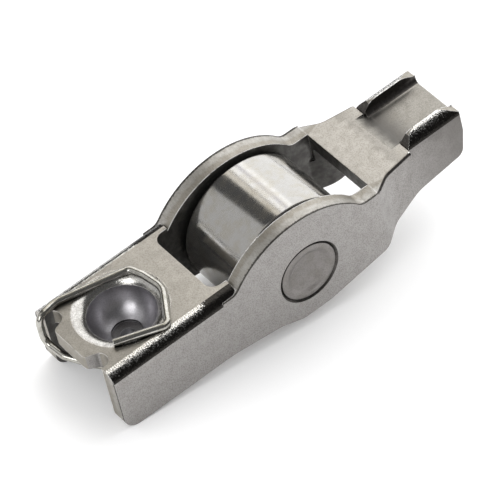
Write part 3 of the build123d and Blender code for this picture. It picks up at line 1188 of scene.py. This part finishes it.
@dataclass
class RollerSet(Piece):
    """The roller, its pin and the full ring of needles between them.

    Attributes:
        radius: Radius of the roller.
        half_width: Half the roller's width.
        bore: Radius of the roller's bore.
        rim: Rounding of the running surface.
        chamfer: Width of the chamfers on the roller's bore and the pin's ends.
        pin: Radius of the pin.
        pin_half: Half the length of the pin.
        stake: Width of the staked ring round the pin's end.
        dish: Width of the slope inside that ring.
        dish_depth: Depth of the dished end.
        needle: Radius of a needle.
        needle_half: Half the length of a needle.
        needle_rim: Rounding of a needle's ends.
        circle: Radius of the circle of needles.
        count: Number of needles.
    """

    radius: float = 8.75
    half_width: float = 5.25
    bore: float = 5.62
    rim: float = 0.35
    chamfer: float = 0.3
    pin: float = 4.1
    pin_half: float = 8.0
    stake: float = 0.8
    dish: float = 0.5
    dish_depth: float = 0.3
    needle: float = 0.75
    needle_half: float = 5.1
    needle_rim: float = 0.2
    circle: float = 4.86
    count: int = 20

    def roller(self) -> bpy.types.Object:
        """Turn and grind the roller.

        Returns:
            The dressed roller.
        """
        w, b, c = self.half_width, self.bore, self.chamfer
        upper = rounded((self.radius, w), self.rim, start=0)
        lower = rounded((self.radius, -w), self.rim, start=270)
        profile = [(b, -w + c), (b, w - c), (b + c, w), *upper, *lower, (b + c, -w)]
        thing = self.turned("roller_shell", Lathe(profile), Surface.ROLLER, angle=35)
        return self.tie(thing, "roller", ["cam_roller"], "ground_steel")

    def axle(self) -> bpy.types.Object:
        """Turn the pin, with its staked and dished ends.

        Returns:
            The dressed pin.
        """
        r, w, c = self.pin, self.pin_half, self.chamfer
        ring = r - self.stake
        floor, slope = w - self.dish_depth, ring - self.dish
        soft_r, soft_y = 0.12, 0.03  # how far the dish's two edges are rounded off
        end = [
            (r, w - c), (r - c * 0.3, w - c * 0.25), (r - c, w), (ring, w),
            (ring - soft_r, w - soft_y), (slope, floor + soft_y),
            (slope - soft_r, floor), (0.0, floor),
        ]
        profile = end + [(radius, -along) for radius, along in reversed(end)]
        lathe = Lathe(profile, segments=128)
        thing = self.turned("pin_shell", lathe, Surface.PIN, angle=30)
        return self.tie(thing, "arm", ["axle_pin"], "pin_steel")

    def needles(self) -> bpy.types.Object:
        """Set the needles in their ring.

        Returns:
            The dressed needles.
        """
        r, w = self.needle, self.needle_half
        tip = rounded((r, w), self.needle_rim, start=0, steps=4)
        foot = rounded((r, -w), self.needle_rim, start=270, steps=4)
        mesh = Lathe([(0.0, w), *tip, *foot, (0.0, -w)], segments=32).mesh("needle_ring")
        mesh.transform(ARM.to_row.inverted())
        smooth(mesh, angle=35)
        thing = link("needle_ring", mesh)
        former = Former("needle_ring", "Needle", {"Count": "Int", "Circle": "Float"}, "Ring")
        given = former.given
        ring = former.add("MeshCircle", Vertices=given["Count"], Radius=given["Circle"])
        upright = former.add("Transform", Geometry=ring, Rotation=(math.pi / 2, 0.0, 0.0))
        former.close(former.add("InstanceOnPoints", Points=upright, Instance=given["Needle"]))
        steel = self.finishes[Surface.NEEDLE]
        values = {"Count": self.count, "Circle": self.circle, "Steel": steel}
        former.run(thing, values).transform(ARM.to_row)
        nodes = [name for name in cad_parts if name.startswith("needle_")]
        return self.tie(thing, "needles", nodes, "needle_steel")

    def build(self) -> list[bpy.types.Object]:
        """Dress the whole bearing.

        Returns:
            Roller, pin and needles.
        """
        return [self.roller(), self.axle(), self.needles()]


@dataclass
class RetainingClip(Piece):
    """The round-wire clip that holds the arm on its lash adjuster.

    Attributes:
        wire: Diameter of the wire.
        lift: Height of the wire's middle line above the axle, on the web.
        gap: Play between wire and web.
        loop: Points on the web: distance from the socket's axis, and degrees.
        hook: Points round the tongue: back, to the side, and down from the web.
        bends: Radius of the wire's middle line at each corner.
        sides: Sides of the wire's section.
        arc_steps: Steps along each bend.
    """

    wire: float = 0.95
    lift: float = 5.825
    gap: float = 0.02
    loop: tuple[Pair, ...] = (
        (5.814, 225.0), (7.038, 288.2), (5.5386, 343.2), (5.1408, 18.1), (5.5998, 41.4),
    )
    hook: tuple[Point, ...] = (
        (5.226, 6.10155, 0.0), (8.19, 5.59845, 0.0), (8.385, 5.20065, 3.41),
        (7.86, 2.1996, 4.02), (6.006, -0.60255, 4.72), (3.588, -3.19995, 5.6),
    )
    bends: tuple[float, ...] = (
        0.798, 2.9925, 2.9925, 0.9975, 2.4985, 1.197, 1.7005, 1.501, 1.995,
    )
    sides: int = 28
    arc_steps: int = 14

    def route(self) -> bpy.types.Mesh:
        """Lay out the wire's middle line.

        Returns:
            A polyline with the bend of each corner in the attribute bend.
        """
        web = self.lift - self.wire / 2 - self.gap
        points = []
        for reach, angle in self.loop:
            turn = math.radians(angle)
            along, side = reach * math.cos(turn) - ARM.reach, reach * math.sin(turn)
            points.append((along, side, self.lift))
        for back, side, down in self.hook:
            points.append((-ARM.reach - back, side, web - down if down else self.lift))
        mesh = bpy.data.meshes.new("retaining_wire")
        edges = [(i, i + 1) for i in range(len(points) - 1)]
        mesh.from_pydata([ARM.to_row @ Vector(p) for p in points], edges, [])
        bend = mesh.attributes.new("bend", "FLOAT", "POINT")
        bend.data.foreach_set("value", [r * MM for r in (0.0, *self.bends, 0.0)])
        return mesh

    def bender(self) -> Former:
        """Set up the group that bends a round wire along a polyline.

        Returns:
            The closed group.
        """
        sizes = {"Wire Radius": "Float", "Sides": "Int", "Arc Steps": "Int"}
        former = Former("bent_wire", "Route", sizes, "Wire")
        given = former.given
        line = former.add("MeshToCurve", Mesh=given["Route"])
        bend = former.net.add(
            "GeometryNodeInputNamedAttribute", {"data_type": "FLOAT"}, {"Name": "bend"}
        )
        corner = next(s for s in bend.outputs if s.name == "Attribute" and s.enabled)
        arcs = former.net.add(
            "GeometryNodeFilletCurve",
            {"mode": "POLY"},
            {
                "Curve": line, "Radius": corner,
                "Count": given["Arc Steps"], "Limit Radius": True,
            },
        )
        section = former.add(
            "CurvePrimitiveCircle", Resolution=given["Sides"], Radius=given["Wire Radius"]
        )
        rod = former.add(
            "CurveToMesh", Curve=arcs.outputs[0], Profile_Curve=section, Fill_Caps=True
        )
        former.close(rod)
        return former

    def build(self) -> list[bpy.types.Object]:
        """Bend the clip.

        Returns:
            The dressed clip.
        """
        thing = link("retaining_wire", self.route())
        values = {
            "Wire Radius": self.wire / 2 * MM, "Sides": self.sides,
            "Arc Steps": self.arc_steps, "Steel": self.finishes[Surface.WIRE],
        }
        smooth(self.bender().run(thing, values), angle=40)
        return [self.tie(thing, "arm", ["retaining_clip"], "spring_wire")]


# -------------------------------------------------------------------- studio
@dataclass(frozen=True)
class View:
    """Where the camera stands.

    Attributes:
        azimuth: Turn about the vertical, in degrees; 0 looks along +Y.
        elevation: Height above the horizon, in degrees.
        roll: Turn about the line of sight, in degrees.
        aim: Point in the middle of the view.
        distance: From the camera to that point.
        sensor: Width of the camera's sensor.
        lens: Focal length.
        clip: Nearest and farthest distance in view, in metres.
    """

    azimuth: float = 35.3589
    elevation: float = 43.4082
    roll: float = -3.2976
    aim: Point = (19.5915, 0.5266, -2.3903)
    distance: float = 563.442
    sensor: float = 36.0
    lens: float = 335.155
    clip: Pair = (0.01, 20.0)


@dataclass(frozen=True)
class Softbox:
    """A lit panel in the slanted ceiling plane of the studio.

    Attributes:
        name: Name of the light.
        across: Limits along X, as shares of the plane's distance.
        along: Limits up the plane, as shares of the plane's distance.
        radiance: Brightness of the panel.
        color: Color of its light.
    """

    name: str
    across: Pair
    along: Pair
    radiance: float
    color: Rgb = (1.0, 1.0, 1.0)


@dataclass(frozen=True)
class SideBox:
    """A smaller square softbox that stands to one side.

    Attributes:
        name: Name of the light.
        toward: Direction of the light from the ball socket.
        width: Its width, in metres.
        radiance: Brightness of the panel.
    """

    name: str
    toward: Point
    width: float
    radiance: float


@dataclass(frozen=True)
class Room:
    """Floor and walls of the studio.

    Attributes:
        floor_half: Half the floor's width, in metres.
        floor_color: Reflectance of the floor.
        floor_glow: Light that the floor adds for the camera alone.
        fill: Brightness of the walls where they light up matte surfaces.
        fill_color: Color of that light.
        mirror_front: Brightness of the front walls in the metal.
        mirror_drop: How much darker the back walls are in the metal.
        back: Part of a direction along Y where the back walls begin and are full.
    """

    floor_half: float = 1.6
    floor_color: Rgb = (0.9, 0.9, 0.9)
    floor_glow: float = 0.12
    fill: float = 0.66
    fill_color: Rgb = (0.99, 0.99, 1.0)
    mirror_front: float = 0.12
    mirror_drop: float = 0.06
    back: Pair = (-0.1, 0.4)


@dataclass
class Studio:
    """Camera, floor, world and lights.

    Attributes:
        view: Where the camera stands.
        room: Floor and walls.
        distance: From the roller to the ceiling plane, in metres.
        facing: Direction from the roller to that plane.
        boxes: The lit panels.
        side: The softbox that lights up the ball seat.
    """

    view: View = View()
    room: Room = Room()
    distance: float = 0.45
    facing: Point = (0.0, 0.6, 0.8)
    boxes: tuple[Softbox, ...] = (
        Softbox("softbox_near", (0.0, 0.13), (-0.45, 1.3), 1.3, (1.0, 0.95, 0.85)),
        Softbox("softbox_middle", (0.155, 0.29), (-0.45, 1.3), 2.05),
        Softbox("softbox_veiled", (0.29, 0.38), (-0.45, 1.3), 1.2, (0.97, 0.95, 1.0)),
        Softbox("softbox_bright", (0.38, 0.52), (-0.45, 1.3), 2.2),
        Softbox("softbox_right", (0.52, 3.4), (-1.2, 1.3), 1.66),
        Softbox("softbox_left", (-3.0, -0.4), (-1.2, 0.95), 0.66),
    )
    side: SideBox = SideBox("softbox_side", (-0.80, -0.34, 0.50), 0.22, 3.8)

    def camera(self) -> None:
        """Set up the camera."""
        view = self.view
        az, el, roll = (math.radians(a) for a in (view.azimuth, view.elevation, view.roll))
        ahead = Vector((math.sin(az) * math.cos(el), math.cos(az) * math.cos(el), -math.sin(el)))
        level = Vector((math.cos(az), -math.sin(az), 0))
        upright = level.cross(ahead)
        right = math.cos(roll) * level + math.sin(roll) * upright
        up = right.cross(ahead)
        lens = bpy.data.cameras.new("camera")
        lens.sensor_width = view.sensor
        lens.lens = view.lens
        lens.clip_start, lens.clip_end = view.clip
        turn = Matrix((right, up, -ahead)).transposed()
        place = (Vector(view.aim) - view.distance * ahead) * MM
        bpy.context.scene.camera = self.hang("camera", lens, place, turn)

    def floor(self) -> None:
        """Lay a plain pale floor under the part."""
        low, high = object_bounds()
        half, middle = self.room.floor_half, (low + high) / 2
        corners = [(-half, -half), (half, -half), (half, half), (-half, half)]
        mesh = bpy.data.meshes.new("floor")
        points = [(middle.x + a, middle.y + b, low.z) for a, b in corners]
        mesh.from_pydata(points, [], [(0, 1, 2, 3)])
        material = bpy.data.materials.new("pale_floor")
        material.use_nodes = True
        net = Net(material.node_tree)
        color = (*self.room.floor_color, 1.0)
        matte = net.add("ShaderNodeBsdfDiffuse", inputs={"Color": color})
        seen = Num(net, net.add("ShaderNodeLightPath").outputs["Is Camera Ray"])
        light = {"Color": (1.0, 1.0, 1.0, 1.0), "Strength": seen * self.room.floor_glow}
        glow = net.add("ShaderNodeEmission", inputs=light)
        both = net.add("ShaderNodeAddShader", inputs={0: matte.outputs[0], 1: glow.outputs[0]})
        net.add("ShaderNodeOutputMaterial", inputs={"Surface": both.outputs[0]})
        mesh.materials.append(material)
        link("floor", mesh)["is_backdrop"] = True

    def world(self) -> None:
        """Fill the room with a little even light."""
        room = self.room
        world = bpy.data.worlds.new("room")
        world.use_nodes = True
        net = Net(world.node_tree)
        mirrored = Num(net, net.add("ShaderNodeLightPath").outputs["Is Glossy Ray"])
        toward = net.add("ShaderNodeTexCoord").outputs["Generated"]
        axes = net.add("ShaderNodeSeparateXYZ", inputs={0: toward})
        behind = Num(net, axes.outputs["Y"]).ramp(*room.back)
        wall = room.mirror_front - behind * room.mirror_drop
        strength = mirrored * (wall - room.fill) + room.fill
        light = {"Color": (*room.fill_color, 1.0), "Strength": strength}
        background = net.add("ShaderNodeBackground", inputs=light)
        net.add("ShaderNodeOutputWorld", inputs={"Surface": background.outputs[0]})
        bpy.context.scene.world = world

    def hang(
        self, name: str, what: bpy.types.ID, place: Vector, turn: Matrix
    ) -> bpy.types.Object:
        """Put a light or the camera in its place.

        Args:
            name: Name of the object.
            what: Light or camera.
            place: Its place, in metres.
            turn: Its three axes, one to a column.

        Returns:
            The new object.
        """
        thing = bpy.data.objects.new(name, what)
        bpy.context.scene.collection.objects.link(thing)
        thing.matrix_world = Matrix.Translation(place) @ turn.to_4x4()
        return thing

    def panel(
        self, box: Softbox | SideBox, size: Pair, color: Rgb = (1.0, 1.0, 1.0)
    ) -> bpy.types.AreaLight:
        """Make the light of one softbox.

        Args:
            box: The softbox.
            size: Its width and height, in metres.
            color: Color of its light.

        Returns:
            An area light that is as bright as the softbox says.
        """
        light = bpy.data.lights.new(box.name, "AREA")
        light.shape = "RECTANGLE"
        light.color = color
        light.size, light.size_y = size
        light.energy = box.radiance * math.pi * size[0] * size[1]
        return light

    def lights(self) -> None:
        """Hang the ceiling's softboxes and the one to the side."""
        facing = Vector(self.facing)
        up_plane = Vector((0.0, -facing.z, facing.y))
        axle = ARM.to_row @ Vector((0, 0, 0))
        turn = Matrix((Vector((1, 0, 0)), up_plane, facing)).transposed()
        for box in self.boxes:
            width = (box.across[1] - box.across[0]) * self.distance
            height = (box.along[1] - box.along[0]) * self.distance
            middle = Vector((sum(box.across) / 2, 0, 0)) + up_plane * sum(box.along) / 2
            place = axle + (facing + middle) * self.distance
            self.hang(box.name, self.panel(box, (width, height), box.color), place, turn)
        side = self.side
        toward = Vector(side.toward).normalized()
        turn = toward.to_track_quat("Z", "Y").to_matrix()
        light = self.panel(side, (side.width, side.width))
        self.hang(side.name, light, toward * self.distance, turn)

    def build(self) -> None:
        """Set up the whole studio."""
        bpy.context.scene.view_settings.view_transform = "Standard"
        self.camera()
        self.floor()
        self.world()
        self.lights()


def main() -> None:
    """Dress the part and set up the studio."""
    logging.basicConfig(level=logging.INFO, format="%(name)s: %(message)s")
    finishes = Finishes()
    for piece in (ArmShell(finishes), RollerSet(finishes), RetainingClip(finishes)):
        for thing in piece.build():
            log.info("%s: %d faces", thing.name, len(thing.data.polygons))
    Studio().build()


if __name__ == "__main__":
    main()
